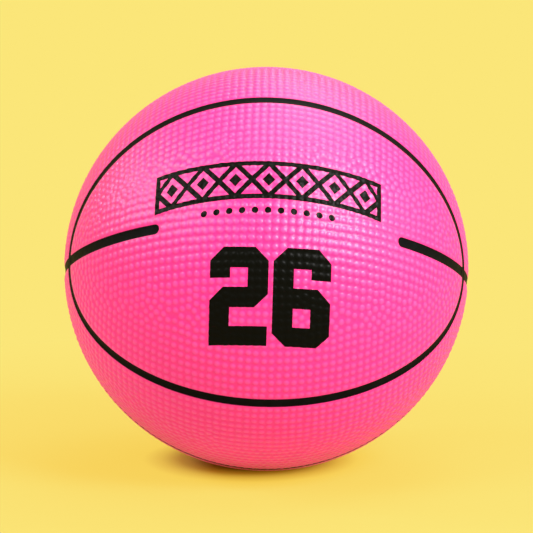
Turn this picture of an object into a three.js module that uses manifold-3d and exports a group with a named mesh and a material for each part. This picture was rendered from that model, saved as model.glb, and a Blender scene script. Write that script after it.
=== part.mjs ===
// A mini basketball of moulded rubber, as it lies on a floor with its printed face tilted up.
// Millimetres, +Z up, origin at the centre of the ball. The printed face looks along -Y.
// From the inside out: an air bladder with a push-in valve, a yarn winding, a carcass of two
// half shells, and a cover of six rubber panels with black strips inlaid in the channels between them.

import * as THREE from "three";
import { mergeVertices } from "three/addons/utils/BufferGeometryUtils.js";
import Module from "manifold-3d";

const wasm = await Module();
wasm.setup();

const degrees = THREE.MathUtils.degToRad;

// Driving dimensions of the ball and its wall
const BALL_DIAMETER = 150;
const COVER_WALL = 1.3;
const CARCASS_WALL = 0.6;
const WINDING_WALL = 0.5;
const BLADDER_WALL = 0.6;
const LAYER_GAP = 0.3;

// Channels between the panels, and the strips that fill them
const CHANNEL_WIDTH = 3.5;
const CHANNEL_DEPTH = 0.45;
const STRIP_GAP = 0.3;

// Each face is ringed by an oval channel, given by its reach from its own middle.
// That middle lies a drop below the middle of the face
const OVAL_REACH_SIDEWAYS = degrees(72.6);
const OVAL_REACH_UPWARDS = degrees(45.1);
const OVAL_DROP = 4;

// The equator channel waves gently, rising towards the middle of each face, where it is interrupted
const EQUATOR_MEAN_HEIGHT = degrees(-1.3);
const EQUATOR_WAVE = degrees(2.2);
const LEFT_DASH_TIP = degrees(29.7);
const RIGHT_DASH_TIP = degrees(37.1);

// How the ball lies: the face tilts up and the ball is rolled a little, on a patch that its weight flattens
const FACE_TILT = degrees(18.5);
const FACE_ROLL = degrees(1.8);
const REST_PATCH_RADIUS = 5;
const REST_PATCH_LIP = 0.02;

// Valve at the middle of the rear face
const NECK_RADIUS = 4.4;
const NECK_RECESS = 0.3;
const HOUSING_LENGTH = 15;
const FLANGE_RADIUS = 12;
const FLANGE_THICKNESS = 1;
const PLUG_HEAD_RADIUS = 3;
const PLUG_HEAD_THICKNESS = 1;
const PLUG_HEAD_RECESS = 0.4;
const PLUG_SHANK_RADIUS = 2.2;
const PLUG_LENGTH = 12.6;
const PLUG_SKIN = 1.5;
const NEEDLE_RADIUS = 0.8;
const AIR_HOLE_RADIUS = 1.2;
const VALVE_GAP = 0.3;

// Fineness of the facets
const CROWN_STEPS = [30, 6];
const FACE_STEPS = [56, 9];
const RING_STEPS = 64;
const DASH_STEPS = [9, 6];
const LINK_STEPS = [3, 2];
const LAYER_SEGMENTS = 28;
const LAYER_RINGS = 14;
const VALVE_SEGMENTS = 24;
const REST_SEGMENTS = 20;
const FLANGE_STEPS = 3;

// Small steps of the geometry's own arithmetic
const SIDE_PROBE = 0.01;
const ON_AXIS = 1e-9;
const SEARCH_REACH = degrees(25);
const SEARCH_STEPS = 50;

// Radii that follow from the driving dimensions
const coverRadius = BALL_DIAMETER / 2;
const coverInside = coverRadius - COVER_WALL;
const stripRadius = coverRadius - CHANNEL_DEPTH;
const carcassRadius = coverInside - LAYER_GAP;
const carcassInside = carcassRadius - CARCASS_WALL;
const windingRadius = carcassInside - LAYER_GAP;
const windingInside = windingRadius - WINDING_WALL;
const bladderRadius = windingInside - LAYER_GAP;
const bladderInside = bladderRadius - BLADDER_WALL;
const valveHoleRadius = NECK_RADIUS + VALVE_GAP;

// Half widths as angles at the centre of the ball
const channelHalf = CHANNEL_WIDTH / 2 / coverRadius;
const stripHalf = (CHANNEL_WIDTH / 2 - STRIP_GAP) / coverRadius;
const stripGap = STRIP_GAP / coverRadius;

const pinkRubber = new THREE.MeshStandardMaterial({ color: 0xfb5ba0, roughness: 0.5, metalness: 0 });
const blackRubber = new THREE.MeshStandardMaterial({ color: 0x141414, roughness: 0.45, metalness: 0 });
const greyRubber = new THREE.MeshStandardMaterial({ color: 0x3a3a3c, roughness: 0.7, metalness: 0 });
const yarn = new THREE.MeshStandardMaterial({ color: 0xe6e2d6, roughness: 0.9, metalness: 0 });
const butyl = new THREE.MeshStandardMaterial({ color: 0x1c1c1e, roughness: 0.6, metalness: 0 });

const ball = new THREE.Group();
ball.rotation.set(-FACE_TILT, FACE_ROLL, 0);

function addPiece(name, geometry, material) {
  const mesh = new THREE.Mesh(geometry, material);
  mesh.name = name;
  ball.add(mesh);
}

// A closed geometry from points and triangles, with shared points merged and collapsed triangles left out
function closedGeometry(points, triangles) {
  const raw = new THREE.BufferGeometry();
  raw.setAttribute("position", new THREE.Float32BufferAttribute(points, 3));
  raw.setIndex(triangles);
  const merged = mergeVertices(raw);
  const kept = [];
  for (let i = 0; i < merged.index.count; i += 3) {
    const [a, b, c] = [0, 1, 2].map((k) => merged.index.getX(i + k));
    if (a !== b && b !== c && c !== a) kept.push(a, b, c);
  }
  merged.setIndex(kept);
  return merged;
}

// A piece of spherical shell over a grid of directions, which at(u, v) gives for u and v from 0 to 1.
// "around" closes the grid in u, and "pole" says that all of v = 0 is one point.
function shellPatch(at, [stepsU, stepsV], outside, inside, { around = false, pole = false } = {}) {
  const points = [];
  const triangles = [];
  const columns = stepsU + 1;
  const rows = stepsV + 1;
  const layer = columns * rows;
  for (const radius of [outside, inside]) {
    for (let j = 0; j < rows; j++) {
      for (let i = 0; i < columns; i++) {
        const u = around && i === stepsU ? 0 : i / stepsU;
        points.push(...at(u, j / stepsV).multiplyScalar(radius).toArray());
      }
    }
  }
  const middle = at(0.5, 0.5);
  const alongU = at(0.5 + SIDE_PROBE, 0.5).sub(middle);
  const alongV = at(0.5, 0.5 + SIDE_PROBE).sub(middle);
  const outwards = alongU.cross(alongV).dot(middle) > 0;
  const quad = (a, b, c, d) => {
    if (outwards) triangles.push(a, b, c, a, c, d);
    else triangles.push(a, c, b, a, d, c);
  };
  const corner = (i, j) => j * columns + i;
  const wall = (a, b) => quad(b, a, layer + a, layer + b);
  for (let j = 0; j < stepsV; j++) {
    for (let i = 0; i < stepsU; i++) {
      const ring = [corner(i, j), corner(i + 1, j), corner(i + 1, j + 1), corner(i, j + 1)];
      quad(...ring);
      quad(...ring.map((k) => layer + k).reverse());
    }
  }
  for (let i = 0; i < stepsU; i++) {
    if (!pole) wall(corner(i, 0), corner(i + 1, 0));
    wall(corner(i + 1, stepsV), corner(i, stepsV));
  }
  if (!around) {
    for (let j = 0; j < stepsV; j++) {
      wall(corner(0, j + 1), corner(0, j));
      wall(corner(stepsU, j), corner(stepsU, j + 1));
    }
  }
  return closedGeometry(points, triangles);
}

// A closed geometry as a solid that can be cut and joined, and back
function solid(geometry) {
  const bare = geometry.clone();
  bare.deleteAttribute("normal");
  bare.deleteAttribute("uv");
  const merged = mergeVertices(bare);
  const vertProperties = merged.attributes.position.array;
  const triVerts = new Uint32Array(merged.index.array);
  return new wasm.Manifold(new wasm.Mesh({ numProp: 3, vertProperties, triVerts }));
}

function geometryOf(cut) {
  const mesh = cut.getMesh();
  const geometry = new THREE.BufferGeometry();
  geometry.setAttribute("position", new THREE.BufferAttribute(mesh.vertProperties, 3));
  geometry.setIndex(new THREE.BufferAttribute(mesh.triVerts, 1));
  return geometry;
}

const subtract = (geometry, ...cutters) =>
  geometryOf(cutters.reduce((rest, cutter) => rest.subtract(solid(cutter)), solid(geometry)));
const join = (geometry, other) => geometryOf(solid(geometry).add(solid(other)));

// Directions on the ball. Longitude runs from the middle of the front face towards +X,
// and height is the angle above the mid plane
const FRONT = new THREE.Vector3(0, -1, 0);

function direction(longitude, height) {
  const level = Math.cos(height);
  return new THREE.Vector3(
    level * Math.sin(longitude),
    -level * Math.cos(longitude),
    Math.sin(height),
  );
}

const longitudeOf = (d) => Math.atan2(d.x, -d.y);
const heightOf = (d) => Math.asin(d.z);
const equatorHeight = (longitude) => EQUATOR_MEAN_HEIGHT + EQUATOR_WAVE * Math.cos(2 * longitude);
const aboveEquator = (d) => heightOf(d) - equatorHeight(longitudeOf(d));
const blend = (a, b, t) => a.clone().lerp(b, t).normalize();
const toRear = (d) => d.setY(-d.y);
const toLeft = (d) => d.setX(-d.x);

// The front oval: the ball's surface cut by an elliptic cylinder along Y. "offset" widens it, as an angle
function ovalEdge(turn, offset) {
  const halfWidth = Math.sin(OVAL_REACH_SIDEWAYS);
  const halfHeight = Math.sin(OVAL_REACH_UPWARDS);
  const x = halfWidth * Math.cos(turn);
  const z = halfHeight * Math.sin(turn) - OVAL_DROP / coverRadius;
  const y = -Math.sqrt(1 - x * x - z * z);
  const dx = -halfWidth * Math.sin(turn);
  const dz = halfHeight * Math.cos(turn);
  const tangent = new THREE.Vector3(dx, -(x * dx + z * dz) / y, dz);
  const point = new THREE.Vector3(x, y, z);
  const sideways = point.clone().cross(tangent).normalize();
  if (sideways.dot(FRONT) > 0) sideways.negate();
  return point.multiplyScalar(Math.cos(offset)).addScaledVector(sideways, Math.sin(offset));
}

// The meridian channel's middle is the circle of the XZ plane. "offset" moves it towards the front
function meridianEdge(turn, offset) {
  const level = Math.cos(offset);
  return new THREE.Vector3(level * Math.cos(turn), -Math.sin(offset), level * Math.sin(turn));
}

// The turn, near "around", at which an edge curve passes a height above the equator
function turnAtEquator(edge, offset, above, around) {
  let [low, high] = [around - SEARCH_REACH, around + SEARCH_REACH];
  const start = Math.sign(aboveEquator(edge(low, offset)) - above);
  for (let step = 0; step < SEARCH_STEPS; step++) {
    const middle = (low + high) / 2;
    if (Math.sign(aboveEquator(edge(middle, offset)) - above) === start) low = middle;
    else high = middle;
  }
  return (low + high) / 2;
}

// A stretch of the equator on the +X side between two longitudes, each given for a height above its middle
function equatorBand(from, to, half) {
  return (u, v) => {
    const above = half * Math.sin((v - 0.5) * Math.PI);
    const longitude = THREE.MathUtils.lerp(from(above), to(above), u);
    return direction(longitude, equatorHeight(longitude) + above);
  };
}

const longitudeAtOval = (offset) => (above) =>
  longitudeOf(ovalEdge(turnAtEquator(ovalEdge, offset, above, 0), offset));
const longitudeAtMeridian = (offset) => (above) =>
  longitudeOf(meridianEdge(turnAtEquator(meridianEdge, offset, above, 0), offset));
const roundTip = (tip, half) => (above) => tip + half - Math.sqrt(Math.max(0, half * half - above * above));

// Cover panels

// A crown panel between the oval and the meridian, above (sign 1) or below (sign -1) the equator
function crownPanel(sign) {
  const above = sign * channelHalf;
  const [ovalRight, ovalLeft] = [0, sign * Math.PI].map((around) =>
    turnAtEquator(ovalEdge, channelHalf, above, around),
  );
  const [meridianRight, meridianLeft] = [0, sign * Math.PI].map((around) =>
    turnAtEquator(meridianEdge, channelHalf, above, around),
  );
  return (u, v) => {
    const onOval = ovalEdge(THREE.MathUtils.lerp(ovalRight, ovalLeft, u), channelHalf);
    const turn = THREE.MathUtils.lerp(meridianRight, meridianLeft, u);
    return blend(onOval, meridianEdge(turn, channelHalf), v);
  };
}

// A face panel inside the oval, with a slot for each dash of the equator
function facePanel(place) {
  const disc = (u, v) => place(blend(FRONT, ovalEdge(u * 2 * Math.PI, -channelHalf), v));
  const slots = dashSides.map(({ side, tip }) => {
    const pastRim = () => longitudeAtOval(channelHalf)(0);
    const slot = equatorBand(roundTip(tip, channelHalf), pastRim, channelHalf);
    const deep = [coverRadius + COVER_WALL, coverInside - COVER_WALL];
    return shellPatch((u, v) => place(side(slot(u, v))), DASH_STEPS, ...deep);
  });
  const whole = shellPatch(disc, FACE_STEPS, coverRadius, coverInside, { around: true, pole: true });
  return subtract(whole, ...slots);
}

const stay = (d) => d;
const ends = [
  { end: "front", place: stay },
  { end: "rear", place: toRear },
];
const dashSides = [
  { name: "left", side: toLeft, tip: LEFT_DASH_TIP },
  { name: "right", side: stay, tip: RIGHT_DASH_TIP },
];

// Flattens the panel that the ball lies on: the floor cuts it, and a disc, a lip lower,
// gives the flat its outline
function flattened(panel) {
  const intoBall = ball.quaternion.clone().invert();
  const restDepth = Math.sqrt(coverRadius ** 2 - REST_PATCH_RADIUS ** 2);
  const discHeight = COVER_WALL / 2;
  const floor = new THREE.BoxGeometry(BALL_DIAMETER, BALL_DIAMETER, COVER_WALL);
  floor.translate(0, 0, -restDepth - COVER_WALL / 2 + REST_PATCH_LIP);
  const disc = new THREE.CylinderGeometry(REST_PATCH_RADIUS, REST_PATCH_RADIUS, discHeight, REST_SEGMENTS);
  disc.rotateX(Math.PI / 2);
  disc.translate(0, 0, -restDepth + discHeight / 2);
  const cut = subtract(panel, floor.applyQuaternion(intoBall));
  return join(cut, disc.applyQuaternion(intoBall));
}

// A hole through the cover for the neck of the valve
function valveHole() {
  const hole = new THREE.CylinderGeometry(valveHoleRadius, valveHoleRadius, coverRadius, VALVE_SEGMENTS);
  return hole.translate(0, coverRadius, 0);
}

addPiece("front_face_panel", facePanel(stay), pinkRubber);
addPiece("rear_face_panel", subtract(facePanel(toRear), valveHole()), pinkRubber);
for (const { end, place } of ends) {
  for (const [level, sign] of [["top", 1], ["bottom", -1]]) {
    const grid = crownPanel(sign);
    let panel = shellPatch((u, v) => place(grid(u, v)), CROWN_STEPS, coverRadius, coverInside);
    if (end === "rear" && level === "bottom") panel = flattened(panel);
    addPiece(`${end}_${level}_panel`, panel, pinkRubber);
  }
}

// Black strips in the channels

const meridianRing = (u, v) => meridianEdge(u * 2 * Math.PI, (2 * v - 1) * stripHalf);
addPiece(
  "meridian_strip",
  shellPatch(meridianRing, [RING_STEPS, 1], stripRadius, coverInside, { around: true }),
  blackRubber,
);
for (const { end, place } of ends) {
  const ovalRing = (u, v) => place(ovalEdge(u * 2 * Math.PI, (2 * v - 1) * stripHalf));
  addPiece(
    `${end}_oval_strip`,
    shellPatch(ovalRing, [RING_STEPS, 1], stripRadius, coverInside, { around: true }),
    blackRubber,
  );
  for (const { name, side, tip } of dashSides) {
    const dash = equatorBand(roundTip(tip + stripGap, stripHalf), longitudeAtOval(-channelHalf), stripHalf);
    const link = equatorBand(longitudeAtOval(channelHalf), longitudeAtMeridian(channelHalf), stripHalf);
    const onBall = (band) => (u, v) => place(side(band(u, v)));
    addPiece(
      `${end}_${name}_dash`,
      shellPatch(onBall(dash), DASH_STEPS, stripRadius, coverInside),
      blackRubber,
    );
    addPiece(
      `${end}_${name}_link`,
      shellPatch(onBall(link), LINK_STEPS, stripRadius, coverInside),
      blackRubber,
    );
  }
}

// Layers under the cover. Profiles are revolved about Y, the axis of the valve, as [radius, place along Y]

const revolve = (profile, segments) =>
  new THREE.LatheGeometry(profile.map(([radius, along]) => new THREE.Vector2(radius, along)), segments);

// Points on a circle of that radius, from one angle off -Y to another
function arc(radius, from, to) {
  const steps = Math.max(1, Math.round((Math.abs(to - from) / Math.PI) * LAYER_RINGS));
  return Array.from({ length: steps + 1 }, (_, k) => {
    const angle = from + ((to - from) * k) / steps;
    return [radius * Math.sin(angle), -radius * Math.cos(angle)];
  });
}

const holeAngle = (radius) => Math.PI - Math.asin(valveHoleRadius / radius);
const onAxis = (points) => points.map(([r, y]) => [r < ON_AXIS ? 0 : r, y]);

// A hollow ball, open at the valve
function layer(outside, inside) {
  const profile = [...arc(outside, 0, holeAngle(outside)), ...arc(inside, 0, holeAngle(inside)).reverse()];
  return closedLathe(onAxis(profile), LAYER_SEGMENTS);
}

// A revolved profile as a closed geometry. One that doesn't reach the axis is closed on itself
function closedLathe(profile, segments) {
  const ring = profile[0][0] > 0 ? [...profile, profile[0]] : profile;
  const lathe = revolve(ring, segments);
  return closedGeometry([...lathe.attributes.position.array], [...lathe.index.array]);
}

const halfCut = LAYER_GAP / 2;
const equatorAngle = (radius) => Math.acos(halfCut / radius);
const frontHalf = [
  ...arc(carcassRadius, 0, equatorAngle(carcassRadius)),
  ...arc(carcassInside, 0, equatorAngle(carcassInside)).reverse(),
];
const rearHalf = [
  ...arc(carcassRadius, Math.PI - equatorAngle(carcassRadius), holeAngle(carcassRadius)),
  ...arc(carcassInside, Math.PI - equatorAngle(carcassInside), holeAngle(carcassInside)).reverse(),
];
addPiece("carcass_front_half", closedLathe(onAxis(frontHalf), LAYER_SEGMENTS), greyRubber);
addPiece("carcass_rear_half", closedLathe(rearHalf, LAYER_SEGMENTS), greyRubber);
addPiece("yarn_winding", layer(windingRadius, windingInside), yarn);
addPiece("bladder", layer(bladderRadius, bladderInside), butyl);

// Valve: a housing bonded under the bladder by its flange, and a push-in plug

const neckTop = coverRadius - NECK_RECESS;
const housingEnd = neckTop - HOUSING_LENGTH;
const plugTop = coverRadius - PLUG_HEAD_RECESS;
const headSeat = plugTop - PLUG_HEAD_THICKNESS;
const plugEnd = plugTop - PLUG_LENGTH;
const boreRadius = PLUG_SHANK_RADIUS + VALVE_GAP;
const seatRadius = PLUG_HEAD_RADIUS + VALVE_GAP;
const facetDip = bladderInside * (1 - Math.cos(Math.PI / LAYER_RINGS / 2));
const flangeTop = bladderInside - facetDip - LAYER_GAP;
const flangeBottom = flangeTop - FLANGE_THICKNESS;

// Points of a flange face, which follows the inside of the bladder, from one radius to another
function flangeFace(sphere, from, to) {
  return Array.from({ length: FLANGE_STEPS + 1 }, (_, k) => {
    const radius = THREE.MathUtils.lerp(from, to, k / FLANGE_STEPS);
    return [radius, Math.sqrt(sphere ** 2 - radius ** 2)];
  });
}

const housing = [
  [AIR_HOLE_RADIUS, housingEnd],
  [NECK_RADIUS, housingEnd],
  ...flangeFace(flangeBottom, NECK_RADIUS, FLANGE_RADIUS),
  ...flangeFace(flangeTop, FLANGE_RADIUS, NECK_RADIUS),
  [NECK_RADIUS, neckTop],
  [seatRadius, neckTop],
  [seatRadius, headSeat - VALVE_GAP],
  [boreRadius, headSeat - VALVE_GAP],
  [boreRadius, plugEnd - VALVE_GAP],
  [AIR_HOLE_RADIUS, plugEnd - VALVE_GAP],
];
addPiece("valve_housing", closedLathe(housing, VALVE_SEGMENTS), butyl);

const plug = [
  [0, plugEnd],
  [PLUG_SHANK_RADIUS, plugEnd],
  [PLUG_SHANK_RADIUS, headSeat],
  [PLUG_HEAD_RADIUS, headSeat],
  [PLUG_HEAD_RADIUS, plugTop],
  [NEEDLE_RADIUS, plugTop],
  [NEEDLE_RADIUS, plugEnd + PLUG_SKIN],
  [0, plugEnd + PLUG_SKIN],
];
addPiece("valve_plug", closedLathe(plug, VALVE_SEGMENTS), butyl);

export default ball;
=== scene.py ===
import math

import bmesh
import bpy
import numpy as np
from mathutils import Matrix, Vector
from mathutils.geometry import delaunay_2d_cdt
from mathutils.kdtree import KDTree


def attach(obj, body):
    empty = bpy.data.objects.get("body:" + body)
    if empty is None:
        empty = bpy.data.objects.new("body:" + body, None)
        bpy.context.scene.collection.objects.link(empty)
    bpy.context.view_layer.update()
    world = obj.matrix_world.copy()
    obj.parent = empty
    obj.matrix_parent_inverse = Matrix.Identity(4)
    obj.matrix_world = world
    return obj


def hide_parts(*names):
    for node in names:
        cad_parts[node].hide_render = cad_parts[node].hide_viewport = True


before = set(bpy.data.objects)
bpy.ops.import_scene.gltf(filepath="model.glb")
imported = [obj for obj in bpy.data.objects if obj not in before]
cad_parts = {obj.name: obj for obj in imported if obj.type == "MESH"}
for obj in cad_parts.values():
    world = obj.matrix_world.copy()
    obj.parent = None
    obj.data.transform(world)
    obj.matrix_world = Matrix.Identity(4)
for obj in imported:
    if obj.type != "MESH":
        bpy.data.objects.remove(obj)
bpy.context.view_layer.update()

MM = 0.001
TINY = 1e-9
rng = np.random.default_rng(seed=30)

# The ball, how its face looks up and leans, and the flat that it lies on
BALL_RADIUS = 75 * MM
COVER_WALL = 1.3 * MM
PEBBLE_HEIGHT = 0.28 * MM
FACE_TILT = math.radians(18.5)
FACE_ROLL = math.radians(1.8)
REST_PATCH_RADIUS = 5 * MM
LAND_RADIUS = BALL_RADIUS - PEBBLE_HEIGHT
COVER_INSIDE = BALL_RADIUS - COVER_WALL
FLOOR_HEIGHT = -math.sqrt(BALL_RADIUS**2 - REST_PATCH_RADIUS**2)

# The channels: an oval round each face, a meridian between them, and a waving, interrupted equator.
# All but the width are angles at the ball's middle.
CHANNEL_WIDTH = 3.5 * MM
CHANNEL_HALF = CHANNEL_WIDTH / 2 / BALL_RADIUS
OVAL_REACH_SIDEWAYS = math.radians(72.6)
OVAL_REACH_UPWARDS = math.radians(45.1)
OVAL_DROP = 4 * MM / BALL_RADIUS
EQUATOR_MEAN_HEIGHT = math.radians(-1.3)
EQUATOR_WAVE = math.radians(2.2)
LEFT_DASH_TIP = math.radians(29.7)
RIGHT_DASH_TIP = math.radians(37.1)

# Strips in the channels: their hollow top, the share of a dash where it runs out, and steps along and across
STRIP_CLEARANCE = 0.01 * MM
STRIP_SINK = 0.05 * MM
STRIP_DISH = 0.20 * MM
TIP_SHARE = 0.06
STRIP_HALF = CHANNEL_HALF - STRIP_CLEARANCE / BALL_RADIUS
STRIP_EDGE = LAND_RADIUS - STRIP_SINK
MERIDIAN_STEPS, OVAL_STEPS, DASH_STEPS, LINK_STEPS = (600, 8), (560, 8), (100, 16), (24, 16)

# Outlines of the panels, drawn finely and then brought to an even step
RIM_POINTS, SLOT_POINTS, SLOT_TIP_POINTS, SIDE_POINTS = 400, 80, 40, 40
CORNER_ROUND = 0.9 * MM
LEAST_ROUND = 0.1 * MM
CORNER_POINTS = 12
FINE_STEP = 0.05 * MM
EDGE_STEP = 0.3 * MM

# The search for a crossing with the equator, and how near to a pole tangents are still taken from Z
SEARCH_REACH = math.radians(25)
SEARCH_ROUNDS = 50
POLE_LIMIT = 0.9

# Shoulder of a panel: how far in from the channel's edge, and the radius there
SHOULDER = [
    (0.0 * MM, STRIP_EDGE - 0.06 * MM),
    (0.06 * MM, LAND_RADIUS - 0.04 * MM),
    (0.18 * MM, LAND_RADIUS - 0.01 * MM),
    (0.36 * MM, LAND_RADIUS),
]

# Skin inside a panel: a grid on its flat chart, and how much of a step stays clear of the edge
SKIN_STEP = 5 * MM
SKIN_REACH = 2.6
SKIN_MARGIN = 0.4

# Middle of a face panel, and how far that of a crown panel is turned to the face from the top or the bottom
FACE_MIDDLE = (0.0, -1.0, 0.0)
CROWN_TURN = math.radians(22)

# Pebbles: rows that follow the nearest channel, a constant pitch along each row
ROW_PITCH = 2.86 * MM
COLUMN_PITCH = 2.66 * MM
FIRST_ROW = 1.45 * MM
LEAST_PITCH = 1.25 * MM
ROW_SLACK = 0.05 * MM
PEBBLE_STRAY = 0.09 * MM
EQUATOR_ROW_SPAN = math.radians(95)
EQUATOR_ROW_POINTS, OVAL_POINTS, TURN_POINTS = 801, 1600, 1601

# Crowded pebbles move apart in rounds, each by a part of the room that is missing
PUSH_ROOM = 2.6 * MM
PUSH_ROUNDS = 60
PUSH_DIVISOR = 3

# The dome of a pebble: its size, the spread of sizes and heights, and rings of (share of the radius, points)
PEBBLE_RADIUS = 1.20 * MM
SIZE_SPREAD = (0.93, 1.03)
HEIGHT_SPREAD = (0.85, 1)
PEBBLE_POWER = 2.5
PEBBLE_RINGS = [(0.52, 6), (0.84, 10), (1.0, 11)]

# Pebbles that a panel leaves out: behind it (a cosine), past its rim and too small (shares of the radius)
BACK_LIMIT = -0.2
PEBBLE_CUT = 0.6
LEAST_PEBBLE = 0.4

# Domes keep clear of the rim, and sink towards it
RIM_CLEARANCE = 0.12 * MM
RIM_FADE = 0.8 * MM

# Large sets of points are compared in batches, to save memory
BATCHES = 20

# Valve in the middle of the rear face, turned about Y
VALVE_GAP = 0.3 * MM
NECK_RADIUS = 4.4 * MM
NECK_RECESS = 0.3 * MM
HOUSING_LENGTH = 15 * MM
AIR_HOLE_RADIUS = 1.2 * MM
FLANGE_RADIUS = 12 * MM
FLANGE_THICKNESS = 1 * MM
FLANGE_DROP = 1 * MM
PLUG_HEAD_RADIUS = 3.0 * MM
PLUG_HEAD_THICKNESS = 1 * MM
PLUG_HEAD_RECESS = 0.4 * MM
PLUG_SHANK_RADIUS = 2.2 * MM
PLUG_LENGTH = 12.6 * MM
PLUG_SKIN = 1.5 * MM
NEEDLE_RADIUS = 0.8 * MM
FUNNEL_RADIUS = 1.4 * MM
FUNNEL_DEPTH = 0.4 * MM
BORE_RADIUS = PLUG_SHANK_RADIUS + VALVE_GAP
SEAT_RADIUS = PLUG_HEAD_RADIUS + VALVE_GAP

# Places along the valve's axis, from the ball's middle
NECK_TOP = BALL_RADIUS - NECK_RECESS
HOUSING_END = NECK_TOP - HOUSING_LENGTH
FLANGE_TOP = 70 * MM
PLUG_TOP = BALL_RADIUS - PLUG_HEAD_RECESS
PLUG_END = PLUG_TOP - PLUG_LENGTH
HEAD_SEAT = PLUG_TOP - PLUG_HEAD_THICKNESS

# Rounding of turned edges
HOUSING_ROUND = 0.25 * MM
PLUG_ROUND = 0.2 * MM
ROUND_SHARE = 0.45
ROUND_POINTS = 5
LATHE_SEGMENTS = 64

# Smooth pad round the valve's hole, with a low rim
VALVE_HOLE = NECK_RADIUS + VALVE_GAP
HOLE_POINTS = 64
VALVE_PAD = 8.0 * MM
PAD_START = 5.5 * MM
PAD_STEP = 0.3 * MM
PAD_POINTS = 60
PAD_RIM_RADIUS, PAD_RIM_HALF, PAD_RIM_HEIGHT = 7.0 * MM, 0.7 * MM, 0.16 * MM

# Mirrors: the front half is drawn, and in it the right side
AS_DRAWN = np.array([1, 1, 1])
TO_REAR = np.array([1, -1, 1])
TO_LEFT = np.array([-1, 1, 1])
ENDS = (("front", AS_DRAWN), ("rear", TO_REAR))
SIDES = (("left", LEFT_DASH_TIP, TO_LEFT), ("right", RIGHT_DASH_TIP, AS_DRAWN))


# Directions on the ball, as rows of unit vectors in its own frame: the face looks along -Y

def unit(rows):
    return rows / np.linalg.norm(rows, axis=-1, keepdims=True)


def tangents(centres):
    """Two directions along the ball at each centre, square to each other."""
    up = np.where(np.abs(centres[..., 2:]) < POLE_LIMIT, [0.0, 0, 1], [1.0, 0, 0])
    east = unit(np.cross(up, centres))
    return east, np.cross(centres, east)


def direction(longitude, height):
    level = np.cos(height)
    up = np.sin(height) + 0 * longitude
    return np.stack([level * np.sin(longitude), -level * np.cos(longitude), up], -1)


def distances(points, others):
    """From each point to the nearest of the others, along the ball."""
    nearest = np.concatenate([(part @ others.T).max(1) for part in np.array_split(points, BATCHES)])
    return np.arccos(np.clip(nearest, -1, 1)) * BALL_RADIUS


def circle(centre, radius, count):
    """A circle on the ball round a direction, its radius measured along the surface."""
    east, north = tangents(centre)
    turn = np.linspace(0, 2 * math.pi, count, endpoint=False)[:, None]
    angle = radius / BALL_RADIUS
    return centre * math.cos(angle) + (east * np.cos(turn) + north * np.sin(turn)) * math.sin(angle)


# Channels: an edge is given by a turn along it and an offset from its middle line, positive towards a crown

def longitude_of(rows):
    return np.arctan2(rows[..., 0], -rows[..., 1])


def equator_height(longitude):
    return EQUATOR_MEAN_HEIGHT + EQUATOR_WAVE * np.cos(2 * longitude)


def above_equator(rows):
    return np.arcsin(rows[..., 2]) - equator_height(longitude_of(rows))


def equator_at(longitude, above):
    return direction(longitude, equator_height(longitude) + above)


def oval_edge(turn, offset):
    wide, high = math.sin(OVAL_REACH_SIDEWAYS), math.sin(OVAL_REACH_UPWARDS)
    x, z = wide * np.cos(turn), high * np.sin(turn) - OVAL_DROP
    y = -np.sqrt(1 - x * x - z * z)
    dx, dz = -wide * np.sin(turn), high * np.cos(turn)
    point = np.stack([x, y, z], -1)
    tangent = np.stack([dx, -(x * dx + z * dz) / y, dz], -1)
    sideways = unit(np.cross(point, tangent))
    sideways = sideways * np.where(sideways[..., 1:2] < 0, -1, 1)
    return point * math.cos(offset) + sideways * math.sin(offset)


def meridian_edge(turn, offset):
    level = math.cos(offset)
    return np.stack([level * np.cos(turn), -math.sin(offset) + 0 * turn, level * np.sin(turn)], -1)


def turn_at_equator(edge, offset, above, around):
    """The turn near a given one at which an edge is a given height above the equator, by halving."""
    low, high = around - SEARCH_REACH, around + SEARCH_REACH
    start = np.sign(above_equator(edge(np.float64(low), offset)) - above)
    for _ in range(SEARCH_ROUNDS):
        middle = (low + high) / 2
        if np.sign(above_equator(edge(np.float64(middle), offset)) - above) == start:
            low = middle
        else:
            high = middle
    return (low + high) / 2


def longitude_where(edge, offset, above):
    """The longitude on the +X side at which an edge is a given height above the equator."""
    return longitude_of(edge(np.float64(turn_at_equator(edge, offset, above, 0)), offset))


# Outlines

def run_along(points):
    """The length along a polyline up to each of its points."""
    return np.concatenate([[0], np.cumsum(np.linalg.norm(np.diff(points, axis=0), axis=1))])


def places_along(points, run, at):
    """Directions at some lengths along a polyline."""
    return unit(np.stack([np.interp(at, run, points[:, k]) for k in range(3)], -1))


def resampled(points, step):
    """Points at an even step along a polyline, ends included."""
    run = run_along(points)
    count = max(2, round(run[-1] / step) + 1)
    return places_along(points, run, np.linspace(0, run[-1], count))


def eased(start, corner, end, count):
    """Points of a curve that goes round inside a corner."""
    t = np.linspace(0, 1, count)[:, None]
    return (1 - t) ** 2 * start + 2 * t * (1 - t) * corner + t**2 * end


def closed_loop(segments, rounding):
    """Joins segments that share their corners into one loop, with each corner rounded."""
    skip = max(1, round(rounding / FINE_STEP))
    fine = [resampled(segment, FINE_STEP / BALL_RADIUS) for segment in segments]
    pieces = []
    for segment, points, following in zip(segments, fine, fine[1:] + fine[:1]):
        corner = eased(points[-skip - 1], segment[-1], following[skip], CORNER_POINTS)
        pieces += [points[skip:-skip], unit(corner)]
    loop = np.concatenate(pieces)
    return resampled(np.concatenate([loop, loop[:1]]), EDGE_STEP / BALL_RADIUS)[:-1]


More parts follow.
